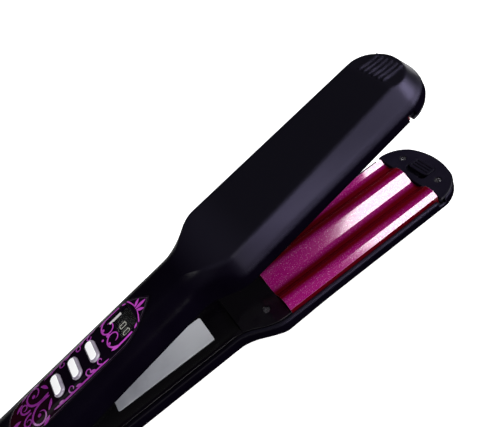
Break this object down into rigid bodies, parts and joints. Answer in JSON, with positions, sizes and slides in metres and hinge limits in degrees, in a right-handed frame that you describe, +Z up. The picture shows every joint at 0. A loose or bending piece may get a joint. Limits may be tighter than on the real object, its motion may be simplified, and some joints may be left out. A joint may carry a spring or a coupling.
{
  "type": "hair crimper",
  "caption": "Two-jaw hair crimper with wide wavy heated plates, spring-opened on a rear hinge, with keys, display and sliding plate locks.",
  "frame": {"origin": "middle of the bounding box's base, on the surface that the lower arm lies on", "axes": "+X from the hinge end towards the tips along the lower arm, +Y across the plates, +Z up from the resting surface"},
  "size_m": [0.2882, 0.053, 0.0924],
  "materials": {
    "soft_touch_black": "soft-touch matte",
    "gloss_black": "polished",
    "matte_black": "fine matte",
    "heatproof_black": "matte",
    "plate_magenta": "pearlescent ceramic coating",
    "steel": "zinc plated",
    "aluminium": "plain",
    "printed_panel": "gloss with violet print",
    "chrome": "polished",
    "clear_window": "clear",
    "display": "liquid crystal",
    "board_green": "solder mask",
    "label_silver": "satin"
  },
  "bodies": {
    "lower_arm": {"lower_shell": "soft_touch_black", "lower_handle_cover": "gloss_black", "lower_heel_cover": "gloss_black", "lower_heel_screws": "steel", "lower_plate": "plate_magenta", "lower_plate_carrier": "heatproof_black", "lower_heater": "aluminium", "lower_tip_cap": "matte_black", "lower_cap_screws": "steel", "rating_plate": "label_silver", "hinge_pin": "steel", "hinge_washers": "steel", "hinge_spring": "steel"},
    "upper_arm": {"upper_shell": "soft_touch_black", "upper_handle_cover": "gloss_black", "upper_heel_cover": "gloss_black", "upper_heel_screws": "steel", "upper_plate": "plate_magenta", "upper_plate_carrier": "heatproof_black", "upper_heater": "aluminium", "upper_tip_cap": "matte_black", "upper_cap_screws": "steel", "control_panel": "printed_panel", "display_window": "clear_window", "display_module": "display", "control_board": "board_green", "key_switches": "matte_black"},
    "lower_lock": {"lower_plate_lock": "matte_black"},
    "upper_lock": {"upper_plate_lock": "matte_black"},
    "plus_key": {"button_plus": "chrome"},
    "minus_key": {"button_minus": "chrome"},
    "power_key": {"button_power": "chrome"},
    "gland": {"cord_gland": "matte_black"}
  },
  "joints": [
    {"name": "jaw", "type": "hinge", "parent": "lower_arm", "child": "upper_arm", "pos_m": [-0.1239, 0, 0.0168], "axis": [0, 1, 0], "range_deg": [0, 13.4], "stiffness_Nm_per_rad": 1.5, "springref_deg": -34.38},
    {"name": "plus_press", "type": "slide", "parent": "upper_arm", "child": "plus_key", "axis": [0.2317, 0, -0.9728], "range_m": [0, 0.0006], "stiffness_N_per_m": 400, "springref_m": -0.001},
    {"name": "minus_press", "type": "slide", "parent": "upper_arm", "child": "minus_key", "axis": [0.2317, 0, -0.9728], "range_m": [0, 0.0006], "stiffness_N_per_m": 400, "springref_m": -0.001},
    {"name": "power_press", "type": "slide", "parent": "upper_arm", "child": "power_key", "axis": [0.2317, 0, -0.9728], "range_m": [0, 0.0006], "stiffness_N_per_m": 400, "springref_m": -0.001},
    {"name": "lower_lock_slide", "type": "slide", "parent": "lower_arm", "child": "lower_lock", "axis": [-1, 0, 0], "range_m": [0, 0.003]},
    {"name": "upper_lock_slide", "type": "slide", "parent": "upper_arm", "child": "upper_lock", "axis": [-0.9728, 0, -0.2317], "range_m": [0, 0.003]},
    {"name": "gland_swivel", "type": "hinge", "parent": "lower_arm", "child": "gland", "pos_m": [-0.1379, 0, 0.0084], "axis": [1, 0, 0], "continuous": true}
  ]
}
